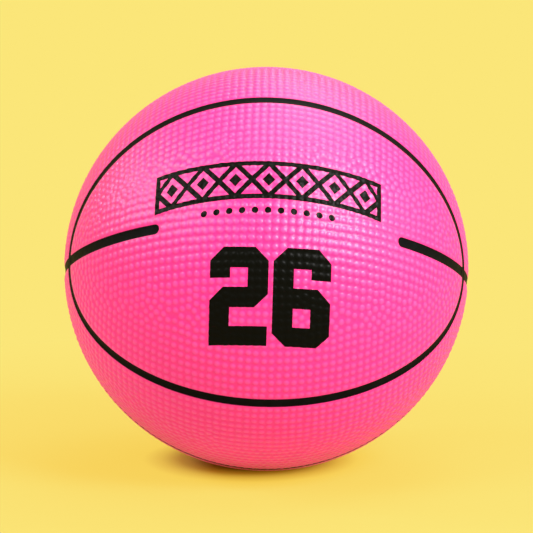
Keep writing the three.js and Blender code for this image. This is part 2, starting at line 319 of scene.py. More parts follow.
def slot_outline(tip, half):
    """The edge of a dash's slot on the +X side, from the rim above it round the tip to the rim below."""
    middle = tip + CHANNEL_HALF
    upper = np.linspace(longitude_where(oval_edge, -half, half), middle, SLOT_POINTS)
    lower = np.linspace(middle, longitude_where(oval_edge, -half, -half), SLOT_POINTS)
    sweep = np.linspace(math.pi / 2, -math.pi / 2, SLOT_TIP_POINTS)[1:-1]
    return np.concatenate([
        equator_at(upper, half),
        equator_at(middle - half * np.cos(sweep), half * np.sin(sweep)),
        equator_at(lower, -half),
    ])


def face_outline(inset):
    """The edge of a face panel: inside the oval, with a slot for the dash at each side."""
    half = CHANNEL_HALF + inset / BALL_RADIUS
    turns = {
        (side, level): turn_at_equator(oval_edge, -half, level * half, side)
        for side in (0, math.pi)
        for level in (1, -1)
    }
    top = oval_edge(np.linspace(turns[0, 1], turns[math.pi, 1], RIM_POINTS), -half)
    bottom = oval_edge(np.linspace(turns[math.pi, -1], turns[0, -1] + 2 * math.pi, RIM_POINTS), -half)
    left = slot_outline(LEFT_DASH_TIP, half) * TO_LEFT
    left[0], left[-1] = top[-1], bottom[0]
    right = slot_outline(RIGHT_DASH_TIP, half)[::-1]
    right[0], right[-1] = bottom[-1], top[0]
    return closed_loop([top, left, bottom, right], max(LEAST_ROUND, CORNER_ROUND - inset))


def crown_outline(level):
    """The edge of a crown panel, above (1) or below (-1) the equator, between oval and meridian."""
    def outline(inset):
        half = CHANNEL_HALF + inset / BALL_RADIUS
        ends = [0, level * math.pi]
        on_oval = [turn_at_equator(oval_edge, half, level * half, end) for end in ends]
        on_meridian = [turn_at_equator(meridian_edge, half, level * half, end) for end in ends]
        oval = oval_edge(np.linspace(*on_oval, RIM_POINTS), half)
        meridian = meridian_edge(np.linspace(*on_meridian[::-1], RIM_POINTS), half)
        sides = []
        for start, end in ((oval[-1], meridian[0]), (meridian[-1], oval[0])):
            longitudes = np.linspace(longitude_of(start), longitude_of(end), SIDE_POINTS)
            side = equator_at(longitudes, level * half)
            side[0], side[-1] = start, end
            sides.append(side)
        return closed_loop([oval, sides[0], meridian, sides[1]], max(LEAST_ROUND, CORNER_ROUND - inset))
    return outline


def valve_hole(inset):
    """The edge of the rear face panel at the valve."""
    return circle(np.array(FACE_MIDDLE), VALVE_HOLE + inset, HOLE_POINTS)


# Triangles

class Chart:
    """A region of the ball laid flat for triangulation, by a projection that keeps circles round."""
    def __init__(self, centre):
        self.centre = unit(np.array(centre, float))
        self.east, self.north = tangents(self.centre)

    def flat(self, rows):
        scale = 2 / (1 + rows @ self.centre)
        return np.stack([rows @ self.east * scale, rows @ self.north * scale], -1)

    def lifted(self, flat):
        square = (flat**2).sum(-1, keepdims=True) / 4
        along = flat[..., :1] * self.east + flat[..., 1:] * self.north
        return (along + self.centre * (1 - square)) / (1 + square)


def inside(points, loop):
    """Whether each flat point is inside a flat loop."""
    x, y = points.T
    found = np.zeros(len(points), bool)
    for (x0, y0), (x1, y1) in zip(loop, np.roll(loop, -1, axis=0)):
        if y0 != y1:
            found ^= ((y0 > y) != (y1 > y)) & (x < (x1 - x0) * (y - y0) / (y1 - y0) + x0)
    return found


def signed_area(loop):
    """The area of a flat loop, negative where it runs clockwise."""
    x, y = loop.T
    return (x * np.roll(y, -1) - y * np.roll(x, -1)).sum() / 2


def triangulated(flat, loops):
    """Triangles among flat points inside loops of point numbers, each with the loops that hold it."""
    turned = [loop if signed_area(flat[loop]) > 0 else loop[::-1] for loop in loops]
    only_inside, with_owners = 1, True
    _, _, triangles, origins, _, owners = delaunay_2d_cdt(
        [Vector(point) for point in flat], [], turned, only_inside, TINY, with_owners
    )
    number = np.array([origin[0] for origin in origins])
    return number[np.array(triangles)], owners


def on_panel(owners, has_hole):
    """Whether each triangle is inside the first loop, the panel's edge, and outside the second, its hole."""
    return np.array([0 in owner and not (has_hole and 1 in owner) for owner in owners])


def numbered(parts):
    """For each of some rows of points that are joined into one, the numbers of its points there."""
    ends = np.cumsum([len(part) for part in parts])
    return [list(range(end - len(part), end)) for part, end in zip(parts, ends)]


# Pebbles

def spaced(curve, shift=0):
    """Pebble centres at an even pitch, both ways from a curve's middle or a share of the pitch past it."""
    run = run_along(curve)
    middle, pitch = run[len(run) // 2], COLUMN_PITCH / BALL_RADIUS
    at = middle + pitch * (shift + np.arange(-int(middle / pitch), int((run[-1] - middle) / pitch)))
    return places_along(curve, run, at)


def even_rows(span):
    """Places of evenly spaced rows across a span, both its ends included."""
    return np.linspace(0, span, round(span / ROW_PITCH) + 1)


def pushed_apart(centres):
    """The pebbles moved along the ball until those that crowd each other have room."""
    room = PUSH_ROOM / BALL_RADIUS
    for _ in range(PUSH_ROUNDS):
        tree = KDTree(len(centres))
        for number, centre in enumerate(centres):
            tree.insert(centre, number)
        tree.balance()
        moves = np.zeros_like(centres)
        for number, centre in enumerate(centres):
            for other, _, away in tree.find_range(centre, room):
                if away > 0:
                    moves[number] += (centre - np.array(other)) * (room / away - 1) / PUSH_DIVISOR
        centres = unit(centres + moves)
    return centres


def strayed(*families):
    """Families of pebbles as one, each pebble a little out of place.

    A pebble that sits on one of an earlier family is left out."""
    even = families[0]
    for family in families[1:]:
        even = np.concatenate([even, family[distances(family, even) > LEAST_PITCH]])
    even = pushed_apart(even)
    return unit(even + rng.normal(0, PEBBLE_STRAY / BALL_RADIUS, even.shape))


def parted(rows):
    """Pebbles that are nearer to their own channel, and those that run on past the middle by a row.

    Each row comes with its lead: how much nearer its own channel is than the other one."""
    centres, lead = (np.concatenate(part) for part in zip(*rows))
    return centres[lead >= 0], centres[(lead < 0) & (lead > -2 * ROW_PITCH)]


def face_pebbles():
    """Centres of pebbles on a face: rows along the equator and, nearer to the oval, along that."""
    longitudes = np.linspace(-EQUATOR_ROW_SPAN, EQUATOR_ROW_SPAN, EQUATOR_ROW_POINTS)
    oval = oval_edge(np.linspace(0, 2 * math.pi, OVAL_POINTS), 0)
    equator_rows, oval_rows = [], []
    for level in (1, -1):
        quarter = level * math.pi / 2
        turns = quarter + np.linspace(-math.pi, math.pi, TURN_POINTS)
        rim = abs(above_equator(oval_edge(np.float64(quarter), -CHANNEL_HALF))) * BALL_RADIUS
        rows = even_rows(rim - FIRST_ROW)
        # The row on the equator itself is made once, with the upper half
        for above in rows if level > 0 else rows[1:]:
            row = spaced(equator_at(longitudes, level * above / BALL_RADIUS))
            equator_rows.append((row, distances(row, oval) - above))
        for away in rows:
            from_middle = FIRST_ROW + away + CHANNEL_HALF * BALL_RADIUS
            row = spaced(oval_edge(turns, -from_middle / BALL_RADIUS))
            row = row[np.abs(distances(row, oval) - from_middle) < ROW_SLACK]
            oval_rows.append((row, level * above_equator(row) * BALL_RADIUS - from_middle))
    by_equator, past_equator = parted(equator_rows)
    by_oval, past_oval = parted(oval_rows)
    return strayed(by_equator, by_oval, past_equator, past_oval)


def crown_pebbles(level):
    """Centres of pebbles on a crown: rows along the oval and, nearer to the meridian, along that."""
    def centres():
        quarter = level * math.pi / 2
        turns = quarter + np.linspace(-math.pi, math.pi, TURN_POINTS)
        oval = oval_edge(turns, 0)
        middle = oval_edge(np.float64(quarter), CHANNEL_HALF)
        rows = even_rows((math.asin(-middle[1]) - CHANNEL_HALF) * BALL_RADIUS - 2 * FIRST_ROW)
        oval_rows, meridian_rows = [], []
        for number, away in enumerate(rows):
            from_middle = FIRST_ROW + away + CHANNEL_HALF * BALL_RADIUS
            row = spaced(oval_edge(turns, from_middle / BALL_RADIUS))
            oval_rows.append((row, np.arcsin(-row[:, 1]) * BALL_RADIUS - from_middle))
            row = spaced(meridian_edge(turns, from_middle / BALL_RADIUS), number % 2 / 2)
            meridian_rows.append((row, distances(row, oval) - from_middle))
        by_oval, past_oval = parted(oval_rows)
        by_meridian, past_meridian = parted(meridian_rows)
        return strayed(by_oval, by_meridian, past_oval, past_meridian)
    return centres


def chosen_pebbles(chart, rims, centres):
    """The pebbles that stand on a panel: their centres, radii and heights. The second rim is its hole's."""
    centres = centres[centres @ chart.centre > BACK_LIMIT]
    near = distances(centres, np.concatenate(rims)) < PEBBLE_CUT * PEBBLE_RADIUS
    centres = centres[near | inside(chart.flat(centres), chart.flat(rims[0]))]
    radii = PEBBLE_RADIUS * rng.uniform(*SIZE_SPREAD, len(centres))
    if len(rims) > 1:
        radii = np.minimum(radii, distances(centres, chart.centre[None]) - VALVE_PAD)
    kept = radii > LEAST_PEBBLE * PEBBLE_RADIUS
    centres, radii = centres[kept], radii[kept]
    heights = PEBBLE_HEIGHT * np.minimum(1, radii / PEBBLE_RADIUS)
    return centres, radii, heights * rng.uniform(*HEIGHT_SPREAD, len(centres))


def dome_points(centres, radii, heights):
    """Points of the domes: directions and heights above the land."""
    east, north = tangents(centres)
    points, lifts = [centres], [heights]
    for share, count in PEBBLE_RINGS:
        reach = (share * radii / BALL_RADIUS)[:, None]
        for k in range(count):
            turn = 2 * math.pi * (k + share) / count
            points.append(unit(centres + reach * (east * math.cos(turn) + north * math.sin(turn))))
            lifts.append(heights * max(0, 1 - share**PEBBLE_POWER))
    return np.concatenate(points), np.concatenate(lifts)


def domes_within(chart, rims, pebbles):
    """The domes' points that are clear of a panel's rims, each with its radius. Domes sink towards a rim."""
    points, lifts = dome_points(*pebbles)
    away = distances(points, np.concatenate(rims))
    clear = inside(chart.flat(points), chart.flat(rims[0])) & (away > RIM_CLEARANCE)
    return points[clear], LAND_RADIUS + (lifts * np.minimum(1, away / RIM_FADE))[clear]


def dome_lift(points, centres, radii, heights):
    """Height above the land of any points on a pebbled surface."""
    nearest = np.concatenate([np.argmax(part @ centres.T, 1) for part in np.array_split(points, BATCHES)])
    away = np.arccos(np.clip((points * centres[nearest]).sum(1), -1, 1)) * BALL_RADIUS
    return heights[nearest] * np.clip(1 - (away / radii[nearest]) ** PEBBLE_POWER, 0, 1)


# Pieces

ROLL = np.array([
    [math.cos(FACE_ROLL), 0, math.sin(FACE_ROLL)],
    [0, 1, 0],
    [-math.sin(FACE_ROLL), 0, math.cos(FACE_ROLL)],
])
TILT = np.array([
    [1, 0, 0],
    [0, math.cos(FACE_TILT), math.sin(FACE_TILT)],
    [0, -math.sin(FACE_TILT), math.cos(FACE_TILT)],
])
LIE = TILT @ ROLL


def piece(name, points, faces, materials, body="ball", material_numbers=None, lifts=None):
    """A mesh in place of the node of that name, from points in the ball's own frame, flat at the floor."""
    mesh = bpy.data.meshes.new(name)
    placed = points @ LIE.T
    placed[:, 2] = np.maximum(placed[:, 2], FLOOR_HEIGHT)
    mesh.from_pydata(placed.tolist(), [], [list(face) for face in faces])
    for look in materials:
        mesh.materials.append(look)
    if material_numbers is not None:
        mesh.polygons.foreach_set("material_index", material_numbers)
    if lifts is not None:
        attribute = mesh.attributes.new("pebble", "FLOAT", "POINT")
        attribute.data.foreach_set("value", lifts.astype(np.float32))
    shaped = bmesh.new()
    shaped.from_mesh(mesh)
    bmesh.ops.recalc_face_normals(shaped, faces=shaped.faces)
    shaped.to_mesh(mesh)
    shaped.free()
    mesh.shade_smooth()
    made = bpy.data.objects.new(name, mesh)
    bpy.context.collection.objects.link(made)
    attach(made, body)
    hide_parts(name)


def valve_pad(centre):
    """Rings of points on the smooth pad round the valve, each with its radius from the ball's middle."""
    rings = []
    for away in np.arange(PAD_START, VALVE_PAD, PAD_STEP):
        swell = max(0, 1 - ((away - PAD_RIM_RADIUS) / PAD_RIM_HALF) ** 2)
        rings.append((circle(centre, away, PAD_POINTS), LAND_RADIUS + PAD_RIM_HEIGHT * swell))
    return rings


def inner_skin(chart, edges, rim):
    """The plain skin inside a panel: its directions, those of the edges first, and its triangles."""
    grid = np.arange(-SKIN_REACH, SKIN_REACH, SKIN_STEP / BALL_RADIUS)
    coarse = np.stack(np.meshgrid(grid, grid), -1).reshape(-1, 2)
    coarse = chart.lifted(coarse[inside(coarse, chart.flat(rim))])
    coarse = coarse[distances(coarse, np.concatenate(edges)) > SKIN_MARGIN * SKIN_STEP]
    for hole in edges[1:]:
        coarse = coarse[~inside(chart.flat(coarse), chart.flat(hole))]
    skin = np.concatenate([*edges, coarse])
    triangles, owners = triangulated(chart.flat(skin), numbered(edges))
    return skin, triangles[on_panel(owners, len(edges) > 1)]


def panel(name, outline, centre, mirror, pebbles, hole=None, ink=()):
    """A pebbled rubber panel: shoulder, land and domes outside, walls and a plain skin inside."""
    chart = Chart(centre)
    edges = [outline, hole] if hole else [outline]
    levels = [[edge(inset) for edge in edges] for inset, _ in SHOULDER]
    chosen = chosen_pebbles(chart, levels[-1], pebbles())

    # Rows of points, each with its radius: the shoulder's loops, the domes, the pad and the print's loops
    rows = [(loop, radius) for level, (_, radius) in zip(levels, SHOULDER) for loop in level]
    first_dome = len(rows)
    rows.append(domes_within(chart, levels[-1], chosen))
    if hole:
        rows += valve_pad(chart.centre)
    first_ink = len(rows)
    rows += [(shape, LAND_RADIUS + dome_lift(shape, *chosen)) for shape in ink]
    points = np.concatenate([row for row, _ in rows])
    radii = np.concatenate([np.broadcast_to(radius, len(row)) for row, radius in rows])

    numbers = numbered([row for row, _ in rows])
    shoulder_loops, print_loops = numbers[:first_dome], numbers[first_ink:]
    triangles, owners = triangulated(chart.flat(points), shoulder_loops + print_loops)
    kept = on_panel(owners, bool(hole))
    printed = np.array([sum(k >= len(shoulder_loops) for k in owner) % 2 for owner in owners])[kept]
    skin, skin_triangles = inner_skin(chart, levels[0], levels[-1][0])
    start = len(points)
    walls = [
        [a, b, start + b, start + a]
        for loop in shoulder_loops[: len(edges)]
        for a, b in zip(loop, loop[1:] + loop[:1])
    ]

    faces = [*triangles[kept].tolist(), *(skin_triangles + start).tolist(), *walls]
    material_numbers = np.zeros(len(faces), int)
    material_numbers[: len(printed)] = printed
    lifts = np.zeros(start + len(skin))
    lifts[:start] = (radii - LAND_RADIUS) / PEBBLE_HEIGHT
    placed = np.concatenate([points * radii[:, None], skin * COVER_INSIDE]) * mirror
    looks = [PINK, INK] if ink else [PINK]
    piece(name, placed, faces, looks, material_numbers=material_numbers, lifts=lifts)


def band(at, steps, around, tip):
    """A strip with a hollow top that lines a channel: at(u, v) gives its directions.

    The hollow runs out at a tip, where the strip starts."""
    u, v = (np.linspace(0, 1, count + 1) for count in steps)
    if around:
        u = u[:-1]
    top = np.stack([at(u, value) for value in v], 1)
    dish = STRIP_DISH * (1 - (2 * v - 1) ** 2) * np.ones((len(u), 1))
    if tip:
        dish *= 1 - (1 - np.minimum(1, u / TIP_SHARE))[:, None] ** 2
    outside = top * (STRIP_EDGE - dish)[..., None]
    under = top * COVER_INSIDE
    count, width = top.shape[:2]
    number = np.arange(count * width).reshape(count, width)
    below = number + count * width
    faces = []
    for i in range(count if around else count - 1):
        k = (i + 1) % count
        for j in range(width - 1):
            faces.append([number[i, j], number[k, j], number[k, j + 1], number[i, j + 1]])
            faces.append([below[i, j], below[i, j + 1], below[k, j + 1], below[k, j]])
        for j in (0, width - 1):
            faces.append([number[i, j], number[k, j], below[k, j], below[i, j]])
    if not around:
        for i in (0, count - 1):
            for j in range(width - 1):
                faces.append([number[i, j], number[i, j + 1], below[i, j + 1], below[i, j]])
    return np.concatenate([outside.reshape(-1, 3), under.reshape(-1, 3)]), faces


def strip(name, at, steps, mirror, around=False, tip=False):
    points, faces = band(at, steps, around, tip)
    piece(name, points * mirror, faces, [BLACK])


def ring(edge):
    """The directions of a strip that follows a closed channel."""
    return lambda u, v: edge(2 * math.pi * u, (2 * v - 1) * STRIP_HALF)


def round_tip(tip):
    """The longitude where a dash starts, for each height above its middle."""
    return lambda above: tip + CHANNEL_HALF - math.sqrt(max(0, STRIP_HALF**2 - above**2))


def at_edge(edge, offset):
    """The longitude where the equator meets another channel, for each height above its middle."""
    return lambda above: longitude_where(edge, offset, above)


def equator_band(start, end):
    """A stretch of the equator between two longitudes that are given for each height above its middle."""
    def at(u, v):
        above = STRIP_HALF * math.sin((v - 0.5) * math.pi)
        return equator_at(start(above) + (end(above) - start(above)) * u, above)
    return at


def rounded_profile(profile, rounding):
    """A closed profile of (radius, place along the axis) with the corners off the axis eased."""
    corners = [np.array(corner) for corner in profile]
    points = []
    for before, corner, after in zip(corners[-1:] + corners[:-1], corners, corners[1:] + corners[:1]):
        if corner[0] < TINY:
            points.append(corner)
            continue
        back, forth = before - corner, after - corner
        shortest = min(np.linalg.norm(back), np.linalg.norm(forth))
        ease = min(rounding, ROUND_SHARE * shortest)
        start, end = (corner + side / np.linalg.norm(side) * ease for side in (back, forth))
        points.extend(eased(start, corner, end, ROUND_POINTS))
    return points


def lathe(profile, rounding):
    """A body turned about the valve's axis. A profile that starts on the axis also ends there."""
    turn = np.linspace(0, 2 * math.pi, LATHE_SEGMENTS, endpoint=False)
    points, rings = [], []
    for radius, along in rounded_profile(profile, rounding):
        if radius < TINY:
            rings.append([len(points)] * LATHE_SEGMENTS)
            points.append([0, along, 0])
        else:
            rings.append(list(range(len(points), len(points) + LATHE_SEGMENTS)))
            circled = [radius * np.cos(turn), np.full(LATHE_SEGMENTS, along), radius * np.sin(turn)]
            points.extend(np.stack(circled, -1).tolist())
    starts_on_axis = profile[0][0] < TINY
    faces = []
    for row, following in zip(rings, rings[1:] + ([] if starts_on_axis else rings[:1])):
        for k in range(LATHE_SEGMENTS):
            n = (k + 1) % LATHE_SEGMENTS
            corners = [row[k], row[n], following[n], following[k]]
            face = [c for c, before in zip(corners, corners[-1:] + corners[:-1]) if c != before]
            if len(face) > 2:
                faces.append(face)
    return np.array(points), faces


def valve_housing():
    """The plug's socket: an air hole, a bore, a seat for the plug's head, and a flange round its neck."""
    bore_end, seat = PLUG_END - VALVE_GAP, HEAD_SEAT - VALVE_GAP
    flange_rim = FLANGE_TOP - FLANGE_DROP
    points, faces = lathe([
        (AIR_HOLE_RADIUS, HOUSING_END), (NECK_RADIUS, HOUSING_END),
        (NECK_RADIUS, FLANGE_TOP - FLANGE_THICKNESS), (FLANGE_RADIUS, flange_rim - FLANGE_THICKNESS),
        (FLANGE_RADIUS, flange_rim), (NECK_RADIUS, FLANGE_TOP),
        (NECK_RADIUS, NECK_TOP), (SEAT_RADIUS, NECK_TOP),
        (SEAT_RADIUS, seat), (BORE_RADIUS, seat),
        (BORE_RADIUS, bore_end), (AIR_HOLE_RADIUS, bore_end),
    ], HOUSING_ROUND)
    piece("valve_housing", points, faces, [BUTYL])


def valve_plug():
    """The push-in plug: a shank and a head, with a funnel and a needle's passage that ends in a skin."""
    passage_end = PLUG_END + PLUG_SKIN
    points, faces = lathe([
        (0, PLUG_END), (PLUG_SHANK_RADIUS, PLUG_END),
        (PLUG_SHANK_RADIUS, HEAD_SEAT), (PLUG_HEAD_RADIUS, HEAD_SEAT),
        (PLUG_HEAD_RADIUS, PLUG_TOP), (FUNNEL_RADIUS, PLUG_TOP),
        (NEEDLE_RADIUS, PLUG_TOP - FUNNEL_DEPTH), (NEEDLE_RADIUS, passage_end), (0, passage_end),
    ], PLUG_ROUND)
    piece("valve_plug", points, faces, [BUTYL], body="plug")


# Nodes of materials

# Where most values of a noise lie
NOISE_SPAN = (0.3, 0.7)
# Sockets of the colour mix, which share their names with others
MIX_SHARE, MIX_FIRST, MIX_SECOND, MIX_RESULT = 0, 6, 7, 2


def material(name):
    made = bpy.data.materials.new(name)
    made.use_nodes = True
    return made, made.node_tree, made.node_tree.nodes["Principled BSDF"]


def is_socket(value):
    return isinstance(value, bpy.types.NodeSocket)


def set_inputs(tree, node, inputs):
    """Sets a node's inputs by name or number. An input that is given a socket is linked to it."""
    for key, value in inputs.items():
        if is_socket(value):
            tree.links.new(value, node.inputs[key])
        else:
            node.inputs[key].default_value = value


def add(tree, kind, inputs=None, **settings):
    """A new node, with its settings made before its inputs."""
    node = tree.nodes.new(kind)
    for key, value in settings.items():
        setattr(node, key, value)
    set_inputs(tree, node, inputs or {})
    return node


def object_place(tree):
    return add(tree, "ShaderNodeTexCoord").outputs["Object"]


def noise(tree, scale, detail, rough=0.5):
    inputs = {"Vector": object_place(tree), "Scale": scale, "Detail": detail, "Roughness": rough}
    return add(tree, "ShaderNodeTexNoise", inputs).outputs["Fac"]


def ranged(tree, value, span, onto):
    """A value with one span of it brought onto another."""
    ends = {"From Min": span[0], "From Max": span[1], "To Min": onto[0], "To Max": onto[1]}
    return add(tree, "ShaderNodeMapRange", {"Value": value, **ends}).outputs["Result"]


def mixed(tree, share, first, second):
    """A mix of two colours, each a socket or red, green and blue."""
    first, second = (value if is_socket(value) else (*value, 1) for value in (first, second))
    inputs = {MIX_SHARE: share, MIX_FIRST: first, MIX_SECOND: second}
    return add(tree, "ShaderNodeMix", inputs, data_type="RGBA").outputs[MIX_RESULT]


def bumped(tree, height, depth, strength):
    inputs = {"Height": height, "Distance": depth, "Strength": strength}
    return add(tree, "ShaderNodeBump", inputs).outputs["Normal"]


# Materials

def pink_rubber():
    """Even pink, with painted shade that makes it deeper between the pebbles, and a soft uneven gloss and a
    fine grain.
    """
    made, tree, shader = material("pink_rubber")
    lift = add(tree, "ShaderNodeAttribute", attribute_name="pebble").outputs["Fac"]
    # Painted shade: the pink is darkest at the foot of each pebble and plain towards its top, standing in
    # for the shade between pebbles
    painted_shade = ranged(tree, lift, span=(0, 0.85), onto=(1, 0))
    body = mixed(tree, noise(tree, scale=45, detail=3), (0.945, 0.062, 0.330), (0.955, 0.070, 0.350))
    gloss = noise(tree, scale=900, detail=4)
    grain = noise(tree, scale=5200, detail=3, rough=0.6)
    set_inputs(tree, shader, {
        "Base Color": mixed(tree, painted_shade, body, (0.93, 0.020, 0.250)),
        "Roughness": ranged(tree, gloss, NOISE_SPAN, onto=(0.34, 0.42)),
        "Specular IOR Level": 0.58,
        "Normal": bumped(tree, grain, depth=0.03 * MM, strength=0.35),
    })
    return made


def dark_surface(name, patches, span, colours, gloss, roughness, specular, grain, depth, strength):
    """A dark colour with patches of a lighter one, uneven gloss and a fine grain.

    Patches, gloss and grain are the scale, detail and roughness of a noise."""
    made, tree, shader = material(name)
    share = ranged(tree, noise(tree, *patches), span, (0, 1))
    set_inputs(tree, shader, {
        "Base Color": mixed(tree, share, *colours),
        "Roughness": ranged(tree, noise(tree, *gloss), NOISE_SPAN, roughness),
        "Specular IOR Level": specular,
        "Normal": bumped(tree, noise(tree, *grain), depth, strength),
    })
    return made


def black_ink():
    return dark_surface(
        "black_ink",
        patches=(1400, 4, 0.65),
        span=(0.62, 0.8),
        colours=((0.0015, 0.002, 0.0022), (0.005, 0.0045, 0.005)),
        gloss=(700, 3),
        roughness=(0.28, 0.4),
        specular=0.06,
        grain=(5200, 3, 0.6),
        depth=0.03 * MM,
        strength=0.3,
    )


def black_rubber():
    return dark_surface(
        "black_rubber",
        patches=(320, 5, 0.6),
        span=(0.45, 0.75),
        colours=((0.0025, 0.0032, 0.0036), (0.005, 0.006, 0.0068)),
        gloss=(800, 3),
        roughness=(0.45, 0.6),
        specular=0.03,
        grain=(3800, 3, 0.6),
        depth=0.04 * MM,
        strength=0.35,
    )


def butyl_rubber():
    return dark_surface(
        "butyl_rubber",
        patches=(260, 5, 0.6),
        span=(0.4, 0.75),
        colours=((0.009, 0.0095, 0.0105), (0.02, 0.02, 0.021)),
        gloss=(600, 3),
        roughness=(0.5, 0.7),
        specular=0.12,
        grain=(3000, 4, 0.6),
        depth=0.05 * MM,
        strength=0.4,
    )


def carcass_rubber():
    """A coarse grey rubber, rougher where it is paler."""
    made, tree, shader = material("carcass_rubber")
    patches = noise(tree, scale=500, detail=6, rough=0.7)
    grain = noise(tree, scale=1500, detail=5, rough=0.7)
    set_inputs(tree, shader, {
        "Base Color": mixed(tree, patches, (0.018, 0.018, 0.019), (0.045, 0.044, 0.045)),
        "Roughness": ranged(tree, patches, NOISE_SPAN, onto=(0.6, 0.8)),
        "Normal": bumped(tree, grain, depth=0.1 * MM, strength=0.5),
    })
    return made


def nylon_yarn():
    """Pale strands, wound side by side."""
    made, tree, shader = material("nylon_yarn")
    wave = {"Vector": object_place(tree), "Scale": 420, "Distortion": 6, "Detail": 2}
    strands = add(tree, "ShaderNodeTexWave", wave).outputs["Fac"]
    set_inputs(tree, shader, {
        "Base Color": mixed(tree, strands, (0.45, 0.42, 0.35), (0.78, 0.75, 0.67)),
        "Roughness": 0.8,
        "Sheen Weight": 0.3,
        "Normal": bumped(tree, strands, depth=0.2 * MM, strength=0.7),
    })
    return made


PINK, INK, BLACK = pink_rubber(), black_ink(), black_rubber()
BUTYL, CARCASS, YARN = butyl_rubber(), carcass_rubber(), nylon_yarn()


# Print on the front face: a plain block number under an arched lattice band and a row of dots.
# Shapes are drawn in millimetres on the face, sideways and upwards from its middle.

INK_STEP = 0.3
DIGIT_WIDTH, DIGIT_HEIGHT, DIGIT_STROKE, DIGIT_CUT = 20.0, 34.0, 7.0, 4.6
DIGIT_TAIL_STROKES = 1.5
DIGIT_GAP = 1.6
NUMBER_MIDDLE = (1.6, -24.6)
BAND_MIDDLE, BAND_HALF_LENGTH, BAND_HALF_HEIGHT, BAND_DROP, BAND_LINE = 16.4, 40.0, 6.2, 4.6, 1.8
BAND_POINTS = 60
LOZENGE_COUNT, LOZENGE_CORE = 7, 0.5
DOT_COUNT, DOT_PITCH, DOT_RADIUS, DOT_MIDDLE = 11, 4.4, 1.15, 5.2
DOT_POINTS = 20


def on_face(shape):
    """A closed shape on the face as directions, with points at an even step along its sides."""
    shape = np.array(shape, float)
    sides = []
    for start, end in zip(shape, np.roll(shape, -1, axis=0)):
        count = max(1, round(np.linalg.norm(end - start) / INK_STEP))
        sides.append(start + (end - start) * np.arange(count)[:, None] / count)
    across, up = (np.concatenate(sides) * MM / BALL_RADIUS).T
    return direction(across / np.cos(up), up)


def moved(shape, x, z):
    return [(x + dx, z + dz) for dx, dz in shape]


def block_figures():
    """The shapes of a 2 and of a 6 with its eye, from the lower left corner of each."""
    wide, tall, stroke, cut = DIGIT_WIDTH, DIGIT_HEIGHT, DIGIT_STROKE, DIGIT_CUT
    low, high = (tall - stroke) / 2, (tall + stroke) / 2
    right, top = wide - stroke, tall - stroke
    tail = tall - DIGIT_TAIL_STROKES * stroke
    two = [
        (cut, tall), (wide - cut, tall), (wide, tall - cut), (wide, low + cut), (wide - cut, low),
        (stroke, low), (stroke, stroke), (wide, stroke), (wide, 0), (0, 0), (0, high - cut), (cut, high),
        (right, high), (right, top), (stroke, top), (stroke, tail), (0, tail), (0, tall - cut),
    ]
    six = [
        (cut, tall), (wide - cut, tall), (wide, tall - cut), (wide, tail), (right, tail), (right, top),
        (stroke, top), (stroke, high), (wide - cut, high), (wide, high - cut), (wide, cut), (wide - cut, 0),
        (cut, 0), (0, cut), (0, tall - cut),
    ]
    eye = [(stroke, stroke), (right, stroke), (right, low), (stroke, low)]
    return [two], [six, eye]


def arched(shape):
    """A shape about the band's middle line, bent along its arch."""
    x, z = np.array(shape, float).T
    return np.stack([x, z + BAND_MIDDLE - BAND_DROP * (x / BAND_HALF_LENGTH) ** 2], -1)


def lattice_band():
    """Crossing lines between two borders: a frame, with what lies between the lines cut out of it."""
    pitch = 2 * BAND_HALF_LENGTH / LOZENGE_COUNT
    length, high, half, line = BAND_HALF_LENGTH, BAND_HALF_HEIGHT, pitch / 2, BAND_LINE / 2
    off = line * math.hypot(half, high) / half
    inner = high - line
    run = half / high
    along = np.linspace(-length - line, length + line, BAND_POINTS)
    edge = np.full(len(along), high + line)
    shapes = [np.concatenate([np.stack([along, -edge], -1), np.stack([along, edge], -1)[::-1]])]
    for k in range(LOZENGE_COUNT):
        x = (k - (LOZENGE_COUNT - 1) / 2) * pitch
        for share in (1, LOZENGE_CORE):
            up, aside = share * (high - off), share * (high - off) * run
            shapes.append([(x + aside, 0), (x, up), (x - aside, 0), (x, -up)])
    for side in (1, -1):
        for k in range(LOZENGE_COUNT - 1):
            x = (k + 1) * pitch - length
            aside = (inner - off) * run
            shapes.append([(x, side * off), (x + aside, side * inner), (x - aside, side * inner)])
        for end in (1, -1):
            border = length - line
            start = off + line / run
            shapes.append([
                (end * border, side * start),
                (end * border, side * inner),
                (end * (border - (inner - start) * run), side * inner),
            ])
    return [arched(shape) for shape in shapes]


def dot_row():
    turn = np.linspace(0, 2 * math.pi, DOT_POINTS, endpoint=False)
    dot = DOT_RADIUS * np.stack([np.cos(turn), np.sin(turn)], -1)
    places = (np.arange(DOT_COUNT) - (DOT_COUNT - 1) / 2) * DOT_PITCH
    return [arched(dot + (x, DOT_MIDDLE - BAND_MIDDLE)) for x in places]


def face_print():
    """All shapes of the print as directions. A shape inside another is cut out of it."""
    middle, foot = NUMBER_MIDDLE[0], NUMBER_MIDDLE[1] - DIGIT_HEIGHT / 2
    two, six = block_figures()
    number = [moved(shape, middle - DIGIT_GAP / 2 - DIGIT_WIDTH, foot) for shape in two]
    number += [moved(shape, middle + DIGIT_GAP / 2, foot) for shape in six]
    return [on_face(shape) for shape in number + lattice_band() + dot_row()]


# Cover panels
panel("front_face_panel", face_outline, FACE_MIDDLE, AS_DRAWN, face_pebbles, ink=face_print())
panel("rear_face_panel", face_outline, FACE_MIDDLE, TO_REAR, face_pebbles, hole=valve_hole)
for end, mirror in ENDS:
    for level_name, level in (("top", 1), ("bottom", -1)):
        middle = (0, -math.sin(CROWN_TURN), level * math.cos(CROWN_TURN))
        panel(f"{end}_{level_name}_panel", crown_outline(level), middle, mirror, crown_pebbles(level))

